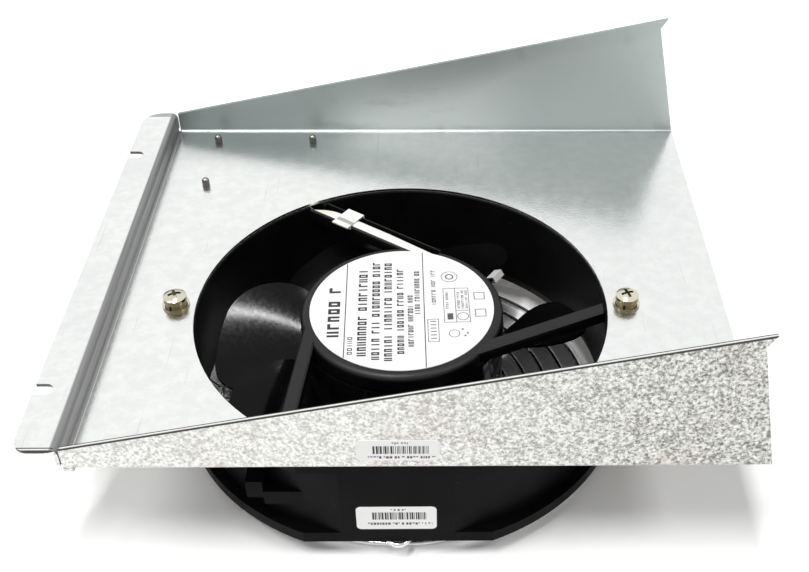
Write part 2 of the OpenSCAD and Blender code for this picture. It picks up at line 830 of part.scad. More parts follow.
module guard_leg(loop_at) {
    knee = loop_at - knee_run;
    foot = knee - knee_drop_run;
    translate([loop_at, 0, loop_z]) rotate([0, 0, -90]) rotate_extrude(angle = 180)
        translate([loop_r, 0]) circle(d = leg_d, $fn = 32);
    for (s = [-1, 1]) {
        y = s * loop_r;
        rod([loop_at, y, loop_z], [knee, y, loop_z], leg_d);
        rod([knee, y, loop_z], [foot, y, low_z], leg_d);
        rod([foot, y, low_z], [ring_in_r, y, low_z], leg_d);
        for (p = [[knee, y, loop_z], [foot, y, low_z]]) translate(p) sphere(d = leg_d + knee_swell, $fn = 32);
    }
}

module guard_legs() {
    color("silver") for (k = [0 : 3]) rotate([0, 0, 90 * k]) guard_leg(k % 2 == 0 ? screw_x : free_loop_y);
}

/* Motor, still parts */

module bearing_tube() {
    color("darkgray") {
        ring(bearing_r, tube_r - seat, tube_bottom, plate_z - tube_bottom);
        ring(tube_stop_r, (bearing_r + tube_r) / 2, lower_bearing_z + bearing_h,
            upper_bearing_z - spring_h - lower_bearing_z - bearing_h);
    }
}

module bearing_outer_rings() {
    color("silver") for (z = [lower_bearing_z, upper_bearing_z])
        ring(outer_race_r, bearing_r - seat, z, bearing_h);
}

module bearing_balls() {
    color("silver") for (z = [lower_bearing_z, upper_bearing_z], k = [0 : ball_count - 1])
        translate(concat(pol(ball_path_r, 360 * k / ball_count), z + bearing_h / 2))
            sphere(r = ball_r, $fn = 24);
}

module preload_spring() {
    color("silver") ring(bearing_r - seat - spring_wall / 2, bearing_r - seat,
        upper_bearing_z - spring_h, spring_h);
}

module stator_outline() {
    difference() {
        circle(r = stator_r);
        circle(r = tube_r);
        for (k = [0 : tooth_count - 1]) rotate([0, 0, 360 * (k + 0.5) / tooth_count]) {
            translate([yoke_r + over, -slot_mouth / 2]) square([stator_r, slot_mouth]);
            intersection() {
                difference() {
                    circle(r = stator_r - tooth_tip_t);
                    circle(r = yoke_r);
                }
                half = 180 / tooth_count;
                side = tooth_w / 2 / sin(half);
                polygon([[side, 0], [side, 0] + pol(stator_r * 2, half),
                    [side, 0] + pol(stator_r * 2, -half)]);
            }
        }
    }
}

module stator_core() {
    color("slategray") translate([0, 0, stack_bottom]) linear_extrude(stack_h) stator_outline();
}

module slot_insulators() {
    color("beige") for (z = [stack_top, stack_bottom - insulator_t]) translate([0, 0, z])
        linear_extrude(insulator_t) intersection() {
            stator_outline();
            circle(r = stator_r - tooth_tip_t);
        }
}

// One block-shaped coil round each tooth, over the insulators
module stator_windings() {
    height = stack_h + 2 * coil_head;
    hole_h = stack_h + 2 * insulator_t + 2 * seat;
    length = winding_out_r - winding_in_r;
    hole_w = tooth_w + 2 * seat;
    color("peru") for (k = [0 : tooth_count - 1]) rotate([0, 0, 360 * k / tooth_count]) difference() {
        block([winding_in_r, -hole_w / 2 - coil_t, stack_bottom - coil_head],
            [length, hole_w + 2 * coil_t, height]);
        block([winding_in_r - over, -hole_w / 2, stack_bottom - insulator_t - seat],
            [length + 2 * over, hole_w, hole_h]);
    }
}

module thermal_protector() {
    color("ghostwhite") rotate([0, 0, protector_deg])
        block([protector_r - protector_w / 2, -protector_l / 2, stack_top + coil_head + seat],
            [protector_w, protector_l, protector_h]);
}

/* Motor, turning parts */

module bearing_inner_rings() {
    color("silver") for (z = [lower_bearing_z, upper_bearing_z])
        ring(shaft_r + seat / 2, inner_race_r, z, bearing_h);
}

module shaft() {
    color("silver") translate([0, 0, cup_bottom]) cylinder(h = shaft_top - cup_bottom, r = shaft_r);
}

module retaining_ring() {
    color("silver") ring(shaft_r + seat / 2, ring_out_r, upper_bearing_z + bearing_h, ring_t);
}

module thrust_spacer() {
    foot = cup_bottom + cup_floor_t + cup_boss_h;
    color("goldenrod") ring(shaft_r + seat / 2, spacer_r, foot, lower_bearing_z - foot);
}

module rotor_cup() {
    inner = cup_r - cup_t;
    color("dimgray") {
        ring(inner, cup_r, cup_bottom, cup_top - cup_bottom);
        ring(shaft_r + seat / 2, cup_r - cup_t / 2, cup_bottom, cup_floor_t);
        ring(shaft_r + seat / 2, cup_boss_r, cup_bottom, cup_floor_t + cup_boss_h);
    }
}

module rotor_core() {
    color("slategray") ring(stator_r + air_gap, cup_r - cup_t - seat, stack_bottom - core_extra,
        stack_h + 2 * core_extra);
}

module impeller_band() {
    color("dimgray") ring(cup_r + seat / 2, cup_r + band_t, band_bottom, band_top - band_bottom);
}

function corner_pull(r, far, c) = r > far - c ? c - sqrt(max(0, c * c - pow(r - far + c, 2))) : 0;
function root_pull(r, c) = r < root_r + c ? c - sqrt(max(0, c * c - pow(root_r + c - r, 2))) : 0;
function arc_deg(s, r) = s / r * 180 / PI;
function lead_at(r) = lead_deg + lead_sweep * (r - edge_ref_r)
    + arc_deg(corner_pull(r, tip_r, lead_corner_r) + root_pull(r, root_corner_r), r);
function tail_at(r) = tail_deg + tail_sweep * (r - edge_ref_r)
    - arc_deg(corner_pull(r, tip_r, tail_corner_r) + root_pull(r, root_corner_r), r);
function blade_height(r, a) = blade_z - blade_fall * a + blade_camber * a * a + blade_rake * (r - edge_ref_r);
function blade_row_r(i) = let (t = i / blade_rows) root_r + (tip_r - root_r) * (1 - pow(1 - t, row_crowding));
function blade_angle(i, j) = let (r = blade_row_r(i)) lead_at(r) + (tail_at(r) - lead_at(r)) * j / blade_cols;
function surface_point(r, a) = concat(pol(r, a), blade_height(r, a));
function blade_point(i, j, up) = let (a = blade_angle(i, j), r = blade_row_r(i),
    slope = (-blade_fall + 2 * blade_camber * a) * 180 / PI / r,
    thick = blade_t * sqrt(1 + slope * slope))
    surface_point(r, a) + [0, 0, up * thick / 2];

module blade(k) {
    n = blade_cols + 1;
    m = (blade_rows + 1) * n;
    points = [for (up = [1, -1], i = [0 : blade_rows], j = [0 : blade_cols]) blade_point(i, j, up)];
    cells = [for (i = [0 : blade_rows - 1], j = [0 : blade_cols - 1]) i * n + j];
    top = [for (c = cells) each [[c, c + n + 1, c + n], [c, c + 1, c + n + 1]]];
    under = [for (c = cells) each [[m + c, m + c + n, m + c + n + 1], [m + c, m + c + n + 1, m + c + 1]]];
    rim = concat([for (i = [0 : blade_rows]) i * n + blade_cols],
        [for (j = [1 : blade_cols]) blade_rows * n + blade_cols - j],
        [for (i = [1 : blade_rows]) (blade_rows - i) * n],
        [for (j = [1 : blade_cols - 1]) j]);
    sides = [for (q = [0 : len(rim) - 1]) let (a = rim[q], b = rim[(q + 1) % len(rim)])
        each [[a, m + a, m + b], [a, m + b, b]]];
    color("dimgray") rotate([0, 0, blade_deg + k * blade_step]) polyhedron(points, concat(top, under, sides));
}

module blade_1() { blade(0); }
module blade_2() { blade(1); }
module blade_3() { blade(2); }
module blade_4() { blade(3); }
module blade_5() { blade(4); }
module blade_6() { blade(5); }
module blade_7() { blade(6); }

// A small folded clip over the high edge of the second blade
module balance_clip() {
    r = clip_row_r;
    mid = surface_point(r, lead_at(r));
    before = surface_point(r - clip_w / 2, lead_at(r - clip_w / 2));
    after = surface_point(r + clip_w / 2, lead_at(r + clip_w / 2));
    along = unit(after - before);
    up = unit(cross(along, surface_point(r, lead_at(r) + arc_deg(clip_reach, r)) - mid));
    inward = cross(up, along);
    gap = blade_t + 2 * clip_play;
    color("silver") rotate([0, 0, blade_deg + blade_step])
        multmatrix([[along[0], inward[0], up[0], mid[0]], [along[1], inward[1], up[1], mid[1]],
            [along[2], inward[2], up[2], mid[2]], [0, 0, 0, 1]])
        translate([-clip_w / 2, -clip_t - clip_back, 0]) {
            block([0, 0, gap / 2], [clip_w, clip_reach, clip_t]);
            block([0, 0, -gap / 2 - clip_t], [clip_w, clip_reach, clip_t]);
            block([0, 0, -gap / 2 - clip_t], [clip_w, clip_t, gap + 2 * clip_t]);
        }
}

mounting_bracket();
clinch_studs();
bracket_sticker();
fan_frame();
motor_label();
frame_sticker();
lead_sleeve();
sleeve_clip();
lead_wires();
lead_cord();
lead_coil();
lead_plug();
mounting_screws();
spring_washers();
flat_washers();
mounting_nuts();
guard_rings();
guard_legs();
bearing_tube();
bearing_outer_rings();
bearing_balls();
preload_spring();
stator_core();
slot_insulators();
stator_windings();
thermal_protector();
bearing_inner_rings();
shaft();
retaining_ring();
thrust_spacer();
rotor_cup();
rotor_core();
impeller_band();
blade_1();
blade_2();
blade_3();
blade_4();
blade_5();
blade_6();
blade_7();
balance_clip();
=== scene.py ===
import math
import random

import bmesh
import bpy
from mathutils import Matrix, Vector


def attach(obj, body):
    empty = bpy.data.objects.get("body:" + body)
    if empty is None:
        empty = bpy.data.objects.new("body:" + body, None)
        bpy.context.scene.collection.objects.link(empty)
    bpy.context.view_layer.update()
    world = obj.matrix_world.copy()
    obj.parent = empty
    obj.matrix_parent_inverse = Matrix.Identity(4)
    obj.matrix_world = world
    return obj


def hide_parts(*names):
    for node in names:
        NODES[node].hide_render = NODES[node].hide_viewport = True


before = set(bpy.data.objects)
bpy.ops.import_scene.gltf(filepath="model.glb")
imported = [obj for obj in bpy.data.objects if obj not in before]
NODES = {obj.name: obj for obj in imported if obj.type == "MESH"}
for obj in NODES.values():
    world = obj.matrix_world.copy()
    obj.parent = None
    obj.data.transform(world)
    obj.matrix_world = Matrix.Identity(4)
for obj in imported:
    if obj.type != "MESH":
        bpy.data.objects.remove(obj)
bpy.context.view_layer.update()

MM = 0.001
FLOOR_Z = -45.9 * MM


def add_object(name, data):
    obj = bpy.data.objects.new(name, data)
    bpy.context.scene.collection.objects.link(obj)
    return obj


# Camera, as fitted to the photograph

SENSOR, PICTURE_WIDTH = 36.0, 809
FOCAL_PX, SHIFT_X_PX, SHIFT_Y_PX = 1112.884, -57.587, 1.5706


def make_camera():
    data = bpy.data.cameras.new("camera")
    data.sensor_width = SENSOR
    data.lens = FOCAL_PX * SENSOR / PICTURE_WIDTH
    data.shift_x, data.shift_y = SHIFT_X_PX / PICTURE_WIDTH, SHIFT_Y_PX / PICTURE_WIDTH
    data.clip_start, data.clip_end = 0.01, 20
    cam = add_object("camera", data)
    cam.location = (15.682 * MM, -306.762 * MM, 259.873 * MM)
    cam.rotation_euler = (0.884972, -0.0077494, -0.0130482)
    bpy.context.scene.camera = cam


make_camera()


# Node helpers

def map_range(nodes, links, value, limits, kind="LINEAR"):
    """Maps value from the first two limits to the last two."""
    node = nodes.new("ShaderNodeMapRange")
    node.interpolation_type = kind
    links.new(value, node.inputs[0])
    for index, number in enumerate(limits, start=1):
        node.inputs[index].default_value = number
    return node.outputs[0]


class Tree:
    """A material with short calls for its nodes."""

    def __init__(self, name, **shader):
        self.mat = bpy.data.materials.new(name)
        self.mat.use_nodes = True
        self.nodes, self.links = self.mat.node_tree.nodes, self.mat.node_tree.links
        self.bsdf = self.nodes["Principled BSDF"]
        for key, value in shader.items():
            self.bsdf.inputs[key.replace("_", " ")].default_value = value
        self.coords = self.nodes.new("ShaderNodeTexCoord").outputs

    def to(self, socket, source):
        self.links.new(source, self.bsdf.inputs[socket])

    def feed(self, node, index, value):
        if isinstance(value, bpy.types.NodeSocket):
            self.links.new(value, node.inputs[index])
        else:
            node.inputs[index].default_value = value

    def math(self, operation, a, b=0.0):
        node = self.nodes.new("ShaderNodeMath")
        node.operation = operation
        self.feed(node, 0, a)
        self.feed(node, 1, b)
        return node.outputs[0]

    def plus(self, a, b):
        return self.math("ADD", a, b)

    def minus(self, a, b):
        return self.math("SUBTRACT", a, b)

    def times(self, a, b):
        return self.math("MULTIPLY", a, b)

    def most(self, a, b):
        return self.math("MAXIMUM", a, b)

    def above(self, a, b):
        return self.math("GREATER_THAN", a, b)

    def below(self, a, b):
        return self.math("LESS_THAN", a, b)

    def axes(self, coord="Object"):
        """X, Y and Z of the place, or with "Normal" of the way that the face looks."""
        node = self.nodes.new("ShaderNodeSeparateXYZ")
        self.links.new(self.coords[coord], node.inputs[0])
        return tuple(node.outputs)

    def stretched(self, sx, sy, sz, turn=0.0):
        """The place with scaled axes, for grain that runs one way."""
        node = self.nodes.new("ShaderNodeMapping")
        self.links.new(self.coords["Object"], node.inputs["Vector"])
        node.inputs["Scale"].default_value = (sx, sy, sz)
        node.inputs["Rotation"].default_value = (0, 0, turn)
        return node.outputs[0]

    def noise(self, scale, detail=3.0, rough=0.5, place=None, distortion=0.0):
        node = self.nodes.new("ShaderNodeTexNoise")
        self.links.new(place or self.coords["Object"], node.inputs["Vector"])
        node.inputs["Scale"].default_value = scale
        node.inputs["Detail"].default_value = detail
        node.inputs["Roughness"].default_value = rough
        node.inputs["Distortion"].default_value = distortion
        return node.outputs[0]

    def ramp(self, value, *stops):
        """Greys between two stops, each a value and its grey."""
        node = self.nodes.new("ShaderNodeValToRGB")
        self.links.new(value, node.inputs[0])
        for element, (at, grey) in zip(node.color_ramp.elements, stops):
            element.position, element.color = at, (grey, grey, grey, 1)
        return node.outputs[0]

    def mix(self, share, a, b):
        """The colour a, or by share the colour b."""
        node = self.nodes.new("ShaderNodeMix")
        node.data_type = "RGBA"
        self.feed(node, 0, share)
        for index, value in ((6, a), (7, b)):
            self.feed(node, index, (*value, 1) if isinstance(value, tuple) else value)
        return node.outputs[2]

    def mix_numbers(self, share, a, b):
        node = self.nodes.new("ShaderNodeMix")
        for index, value in ((0, share), (2, a), (3, b)):
            self.feed(node, index, value)
        return node.outputs[0]

    def over(self, share, colour):
        """Lays a colour over the base colour that is there."""
        old = self.bsdf.inputs["Base Color"].links[0].from_socket
        self.to("Base Color", self.mix(share, old, colour))

    def span(self, value, low, high, out_low=0.0, out_high=1.0):
        """A smooth step of value from low to high."""
        return map_range(self.nodes, self.links, value, (low, high, out_low, out_high), "SMOOTHSTEP")

    def rough(self, grain, middle, spread):
        """Roughness that strays with the grain, half the spread to each side."""
        self.to("Roughness", self.plus(self.times(grain, spread), middle - spread / 2))

    def bump(self, height, strength, distance, base=None):
        node = self.nodes.new("ShaderNodeBump")
        node.inputs["Strength"].default_value = strength
        node.inputs["Distance"].default_value = distance
        self.links.new(height, node.inputs["Height"])
        if base:
            self.links.new(base, node.inputs["Normal"])
        self.to("Normal", node.outputs[0])
        return node.outputs[0]


# Materials

# Places on the bracket: just inside its outer faces, before its back wall, and on both sides of
# the front wall's inner face
OUTER_FRONT_Y, OUTER_BACK_Y, UNDER_Z = -77.25 * MM, 120.25 * MM, 0.3 * MM
BACK_WALL_Y, INNER_FRONT_Y = 117.5 * MM, (-76.62 * MM, -76.2 * MM)
# Along X: where the flange ends, where the step starts and ends, and where the walls start
FLANGE_X, STEP_FROM, STEP_TO = -105 * MM, (-104.1 * MM, -103.5 * MM), (-100.2 * MM, -100.7 * MM)
WALL_X = -101 * MM
# The walls' top edge: its height at their start, and its climb along X
WALL_TOP, WALL_SLOPE = 9.6 * MM, 0.2144
# A radius just inside the frame's bore
BORE_R = 72.7 * MM
OFF_WHITE = (0.88, 0.88, 0.85)


def outside_colour(t, x, z, grain):
    """Grey grain under thin light ridges, with darker specks to the right and some rust."""
    patch = t.noise(45, 3, 0.6)
    stray = t.times(t.minus(patch, 0.5), 90 * MM)
    drift = t.span(t.plus(x, stray), -30 * MM, 112 * MM)
    dark = t.mix(drift, (0.46, 0.46, 0.445), (0.17, 0.17, 0.16))
    pale = t.mix(drift, (0.75, 0.75, 0.725), (0.66, 0.66, 0.63))
    tone = t.mix(grain, dark, pale)
    rust = t.span(t.plus(patch, t.span(z, -1 * MM, 4 * MM, 0.14, 0)), 0.52, 0.70)
    tone = t.mix(t.times(rust, 0.32), tone, (0.46, 0.39, 0.32))
    curl = t.noise(520, 1.5, 0.5, t.stretched(1.0, 1.0, 1.15), 0.8)
    ridge = t.span(t.math("ABSOLUTE", t.minus(curl, 0.5)), 0.035, 0.004)
    return t.mix(t.times(ridge, 0.6), tone, (0.88, 0.88, 0.86))


def inside_colour(t, x, y, z, mottle, wall, climb):
    """Fine mottling, clouds and a few faint scratches, duller on the back wall, with that wall's
    reflection painted into the plate's back corner.
    """
    cloud = t.noise(22, 4, 0.6)
    scratch = t.noise(60, 2, 0.5, t.stretched(14.0, 0.5, 1.0, 0.5))
    tone = t.mix(t.span(mottle, 0.36, 0.68), (0.86, 0.88, 0.865), (0.94, 0.955, 0.94))
    tone = t.mix(t.span(cloud, 0.48, 0.75, 0.0, 0.35), tone, (0.76, 0.79, 0.78))
    tone = t.mix(t.span(scratch, 0.66, 0.74, 0.0, 0.3), tone, (0.60, 0.62, 0.61))
    # the back wall: dull, with darker blotches, and darker toward its top and to the right
    wall_darkening = t.span(t.noise(30, 4, 0.65, t.stretched(0.55, 1, 2.0)), 0.46, 0.70)
    high = t.span(t.minus(z, climb), -14 * MM, 6 * MM)
    wall_darkening = t.most(t.times(wall_darkening, 0.8), t.times(high, 0.85))
    wall_darkening = t.times(wall, t.most(wall_darkening, t.span(x, 14 * MM, 62 * MM, 0, 0.75)))
    dark_blotch = t.span(t.noise(48, 2, 0.5, t.stretched(1, 1, 0.8)), 0.62, 0.7)
    tone = t.mix(t.times(wall, 0.85), tone, (0.52, 0.565, 0.56))
    tone = t.mix(t.times(t.times(dark_blotch, wall), 0.4), tone, (0.30, 0.33, 0.32))
    # the plate: a painted reflection of the back wall darkens its back corner; a little darker to the
    # right
    back = t.times(t.span(y, 84 * MM, 112 * MM), t.span(x, -14 * MM, -48 * MM))
    back = t.times(back, t.above(x, WALL_X))
    tone = t.mix(t.times(back, 0.7), tone, (0.42, 0.46, 0.45))
    tone = t.mix(t.span(x, 40 * MM, 100 * MM, 0, 0.2), tone, (0.72, 0.75, 0.735))
    return t.mix(t.times(wall_darkening, 0.7), tone, (0.30, 0.34, 0.335))


def galvanised():
    t = Tree("galvanised_sheet", Metallic=1.0)
    x, y, z = t.axes()
    grain = t.span(t.noise(950, 3.0, 0.6), 0.33, 0.66)
    mottle = t.noise(210, 6, 0.7)
    outside = t.most(t.below(y, OUTER_FRONT_Y), t.above(y, OUTER_BACK_Y))
    outside = t.most(outside, t.below(z, UNDER_Z))
    wall = t.above(y, BACK_WALL_Y)
    climb = t.times(t.plus(x, -WALL_X), WALL_SLOPE)
    inside = inside_colour(t, x, y, z, mottle, wall, climb)
    # the step: dull, with drawn lines along it
    step = t.times(t.span(x, *STEP_TO), t.span(x, *STEP_FROM))
    lines = t.noise(900, 3, 0.7, t.stretched(1.0, 0.015, 1.0))
    inside = t.mix(step, inside, t.ramp(lines, (0.3, 0.22), (0.7, 0.34)))
    # sheared faces of the flange and its slots: painted shade, dark where they stand upright facing the
    # front
    cut_face_shade = t.times(t.below(t.axes("Normal")[1], -0.4), t.below(x, FLANGE_X))
    inside = t.mix(cut_face_shade, inside, (0.10, 0.10, 0.095))
    # the walls' sheared top edges: painted shade, a dark line along the outer corner, a thinner one
    # inside
    edge = t.minus(t.plus(WALL_TOP, climb), z)
    inner = t.times(t.above(y, INNER_FRONT_Y[0]), t.below(y, INNER_FRONT_Y[1]))
    edge_shade = t.most(t.times(t.below(edge, 0.6 * MM), outside),
                  t.times(t.below(edge, 0.35 * MM), inner))
    t.to("Base Color", t.mix(outside, inside, outside_colour(t, x, z, grain)))
    t.over(edge_shade, (0.07, 0.066, 0.06))
    rough = t.plus(0.14, t.times(wall, 0.18))
    rough = t.plus(t.times(mottle, 0.14), rough)
    rough = t.plus(rough, t.times(step, 0.25))
    t.to("Roughness", t.mix_numbers(outside, rough, t.minus(0.60, t.times(grain, 0.16))))
    t.bump(mottle, 0.06, 0.05 * MM, t.bump(grain, 0.22, 0.05 * MM))
    return t


def coated(name, colour, rough, sheen, top_sheen=None, dust=0.0):
    """Satin paint with a fine orange peel; top_sheen is for the topmost parts within the bore."""
    t = Tree(name, IOR=1.45, Specular_IOR_Level=sheen)
    if top_sheen:
        x, y, z = t.axes()
        reach = t.plus(t.times(x, x), t.times(y, y))
        top = t.times(t.span(z, -3.2 * MM, -1.4 * MM), t.below(reach, BORE_R ** 2))
        t.to("Specular IOR Level", t.plus(t.times(top, top_sheen - sheen), sheen))
    light = tuple(c * 1.6 + 0.0015 for c in colour)
    t.to("Base Color", t.mix(t.span(t.noise(35, 4, 0.6), 0.35, 0.7), colour, light))
    if dust:
        specks = t.span(t.noise(1600, 1, 0.5), 0.72, 0.8)
        t.over(t.times(specks, dust), (0.35, 0.35, 0.34))
    grain = t.noise(700, 3, 0.6)
    t.rough(grain, rough, 0.14)
    t.bump(grain, 0.12, 0.06 * MM)
    return t


def metal(name, colour, rough, streak=(1, 1, 1), scale=500, depth=0.1, metallic=1.0, side=None):
    """Worn metal with stains; side is a darker colour painted on its upright faces as shade."""
    t = Tree(name, Metallic=metallic)
    dark = tuple(c * 0.72 for c in colour)
    t.to("Base Color", t.mix(t.span(t.noise(90, 3, 0.6), 0.4, 0.75), colour, dark))
    if side:
        # painted shade: upright faces take the darker side colour
        t.over(t.span(t.axes("Normal")[2], 0.7, 0.2), side)
    grain = t.noise(scale, 4, 0.6, t.stretched(*streak))
    t.rough(grain, rough, 0.16)
    t.bump(grain, depth, 0.04 * MM)
    return t


def plastic(name, colour, rough, tint=None, scale=300):
    """Plastic, paper or film, clouded with the tint."""
    t = Tree(name, IOR=1.47)
    tint = tint or tuple(c * 0.93 for c in colour)
    t.to("Base Color", t.mix(t.span(t.noise(60, 4, 0.6), 0.35, 0.75), colour, tint))
    grain = t.noise(scale, 3, 0.6)
    t.rough(grain, rough, 0.14)
    t.bump(grain, 0.08, 0.06 * MM)
    return t


def sleeve_end():
    """The woven sleeve, yellower and darker toward its outer end: partly its own cream tint, partly
    painted shade where it dips under the sheet.
    """
    t = plastic("sleeve_tip", OFF_WHITE, 0.5, scale=900)
    t.over(t.span(t.axes()[0], -27 * MM, -36 * MM), (0.80, 0.80, 0.62))
    return t


def grooved():
    """White nylon with painted shade: grey on the groove floor and along the thin side edges."""
    t = plastic("clip_nylon", OFF_WHITE, 0.3)
    z = t.axes()[2]
    # painted shade: grey between these heights, on the groove floor and the side edges
    t.over(t.times(t.below(z, -0.12 * MM), t.above(z, -0.45 * MM)), (0.40, 0.40, 0.385))
    return t


SHEET = galvanised()
CAST = coated("black_casting", (0.0022, 0.0022, 0.0023), 0.42, sheen=0.05, top_sheen=0.42, dust=0.1)
BLADE = coated("black_blade", (0.0025, 0.0025, 0.0025), 0.115, sheen=0.16)
ROTOR = coated("black_rotor", (0.0025, 0.0025, 0.0026), 0.4, sheen=0.1)
PAPER = plastic("white_paper", (0.97, 0.97, 0.96), 0.5, (0.95, 0.95, 0.94))
LABEL = plastic("white_label", (0.92, 0.92, 0.92), 0.36)
SLEEVE = plastic("white_sleeve", OFF_WHITE, 0.45)
NYLON = plastic("white_nylon", OFF_WHITE, 0.3)
# the side colours here are painted shade on upright faces
NICKEL = metal("yellow_nickel", (0.74, 0.70, 0.58), 0.15, side=(0.20, 0.17, 0.10))
TRIM = metal("bright_clip", (0.95, 0.95, 0.94), 0.35, metallic=0.3, side=(0.16, 0.16, 0.155))
STUD = metal("dull_stud", (0.30, 0.29, 0.27), 0.24, side=(0.14, 0.13, 0.12))
WIRE = metal("plated_wire", (0.72, 0.72, 0.73), 0.14)
STEEL = metal("ground_steel", (0.62, 0.62, 0.63), 0.24)
LAMINATION = metal("lamination", (0.32, 0.32, 0.34), 0.45, (0.02, 0.02, 1), 1400, 0.3)
BRASS = metal("brass", (0.74, 0.58, 0.30), 0.3)
COPPER = metal("enamelled_copper", (0.66, 0.30, 0.14), 0.3, (1, 1, 0.05), 900, 0.4)
FILM = plastic("insulating_film", (0.62, 0.55, 0.38), 0.42)
INK = plastic("dark_ink", (0.022, 0.022, 0.024), 0.5)
PALE_INK = plastic("grey_ink", (0.09, 0.09, 0.095), 0.5)

for node, tree in {
    "mounting_bracket": SHEET, "clinch_studs": STUD, "bracket_sticker": PAPER, "fan_frame": CAST,
    "motor_label": LABEL, "frame_sticker": PAPER, "lead_sleeve": SLEEVE, "sleeve_clip": grooved(),
    "lead_wires": SLEEVE, "lead_cord": SLEEVE, "lead_coil": SLEEVE, "lead_plug": NYLON,
    "mounting_screws": NICKEL, "spring_washers": NICKEL, "flat_washers": NICKEL,
    "mounting_nuts": NICKEL, "guard_rings": WIRE, "guard_legs": WIRE, "bearing_tube": BRASS,
    "bearing_outer_rings": STEEL, "bearing_balls": STEEL, "preload_spring": STEEL,
    "stator_core": LAMINATION, "slot_insulators": FILM, "stator_windings": COPPER,
    "thermal_protector": FILM, "bearing_inner_rings": STEEL, "shaft": STEEL,
    "retaining_ring": STEEL, "thrust_spacer": BRASS, "rotor_cup": ROTOR,
    "rotor_core": LAMINATION, "impeller_band": BLADE, "balance_clip": TRIM,
    **{f"blade_{i}": BLADE for i in range(1, 8)},
}.items():
    slots = NODES[node].data.materials
    slots.clear()
    slots.append(tree.mat)


# Stage and light

def greater(nodes, links, a, b):
    node = nodes.new("ShaderNodeMath")
    node.operation = "MAXIMUM"
    links.new(a, node.inputs[0])
    links.new(b, node.inputs[1])
    return node.outputs[0]


def mirrored(nodes, links, seen):
    """One for rays that come from metal or through glass."""
    return greater(nodes, links, seen.outputs["Is Glossy Ray"], seen.outputs["Is Transmission Ray"])


def diffuse(nodes, colour):
    node = nodes.new("ShaderNodeBsdfDiffuse")
    node.inputs["Color"].default_value = (*colour, 1)
    return node.outputs[0]


def mix_shaders(nodes, links, share, a, b):
    """The shader a, or by share the shader b."""
    node = nodes.new("ShaderNodeMixShader")
    for index, source in enumerate((share, a, b)):
        links.new(source, node.inputs[index])
    return node.outputs[0]


def make_stage(reach=4.0):
    """A floor that looks white from the camera and in metal, and lights the object as grey."""
    mesh = bpy.data.meshes.new("floor")
    corners = [(x * reach, y * reach, FLOOR_Z) for x, y in ((-1, -1), (1, -1), (1, 1), (-1, 1))]
    mesh.from_pydata(corners, [], [(0, 1, 2, 3)])
    floor = add_object("floor", mesh)
    mat = bpy.data.materials.new("floor_white")
    mat.use_nodes = True
    nodes, links = mat.node_tree.nodes, mat.node_tree.links
    nodes.clear()
    out = nodes.new("ShaderNodeOutputMaterial")
    seen = nodes.new("ShaderNodeLightPath")
    # more than white, so that the lit floor comes out as white as the background
    shown = nodes.new("ShaderNodeAddShader")
    links.new(diffuse(nodes, (1.0, 1.0, 1.0)), shown.inputs[0])
    links.new(diffuse(nodes, (0.18, 0.18, 0.175)), shown.inputs[1])
    share = greater(nodes, links, seen.outputs["Is Camera Ray"], mirrored(nodes, links, seen))
    surface = mix_shaders(nodes, links, share, diffuse(nodes, (0.62, 0.62, 0.62)), shown.outputs[0])
    links.new(surface, out.inputs["Surface"])
    mesh.materials.append(mat)


def make_world():
    world = bpy.data.worlds.new("studio")
    bpy.context.scene.world = world
    world.use_nodes = True
    nodes, links = world.node_tree.nodes, world.node_tree.links
    nodes.clear()
    out = nodes.new("ShaderNodeOutputWorld")
    seen = nodes.new("ShaderNodeLightPath")
    split = nodes.new("ShaderNodeSeparateXYZ")
    links.new(nodes.new("ShaderNodeTexCoord").outputs["Generated"], split.inputs[0])

    def background(colour):
        node = nodes.new("ShaderNodeBackground")
        if isinstance(colour, tuple):
            node.inputs["Color"].default_value = colour
        else:
            links.new(colour, node.inputs["Color"])
        return node.outputs[0]

    def along_y(*limits):
        return background(map_range(nodes, links, split.outputs["Y"], limits))

    # what metal mirrors: white, a little duller on the camera's side
    shown = along_y(-0.9, 0.4, 0.74, 1.0)
    # the light that the room gives: soft, and stronger from the camera's side
    room = along_y(-0.35, -1.0, 0.2, 1.0)
    unseen = mix_shaders(nodes, links, mirrored(nodes, links, seen), room, shown)
    surface = mix_shaders(nodes, links, seen.outputs["Is Camera Ray"], unseen, background((1, 1, 1, 1)))
    links.new(surface, out.inputs["Surface"])


def make_lamp(name, middle, size, turn, power):
    """An area lamp that faces down."""
    data = bpy.data.lights.new(name, "AREA")
    data.shape, data.size, data.size_y, data.energy = "RECTANGLE", size[0], size[1], power
    lamp = add_object(name, data)
    lamp.location, lamp.rotation_euler = middle, (0, 0, math.radians(turn))


make_stage()
make_world()
make_lamp("left_light", (-1.6, -0.5, 2.2), (0.9, 0.9), 0, 19)
make_lamp("right_light", (1.6, -0.7, 2.2), (0.7, 0.7), 0, 17)
make_lamp("strip_light", (-0.38, -0.44, 2.3), (1.6, 0.06), 71, 37)

bpy.context.scene.view_settings.view_transform = "Standard"


# Mesh helpers, in mm and degrees

def add_mesh(name, verts, faces, tree, body, smooth=None):
    """A mesh piece, smooth over edges that turn less than smooth degrees, or flat."""
    mesh = bpy.data.meshes.new(name)
    mesh.from_pydata(verts, [], faces)
    mesh.materials.append(tree.mat)
    obj = add_object(name, mesh)
    work = bmesh.new()
    work.from_mesh(mesh)
    bmesh.ops.recalc_face_normals(work, faces=work.faces)
    for face in work.faces:
        face.smooth = smooth is not None
    if smooth is not None:
        for edge in work.edges:
            edge.smooth = len(edge.link_faces) == 2 and edge.calc_face_angle(0) < math.radians(smooth)
    work.to_mesh(mesh)
    work.free()
    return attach(obj, body)


def pol(r, deg):
    """The point at a radius and an angle around the axis."""
    return Vector((r * math.cos(math.radians(deg)), r * math.sin(math.radians(deg)), 0))


# The free lead and its sleeve

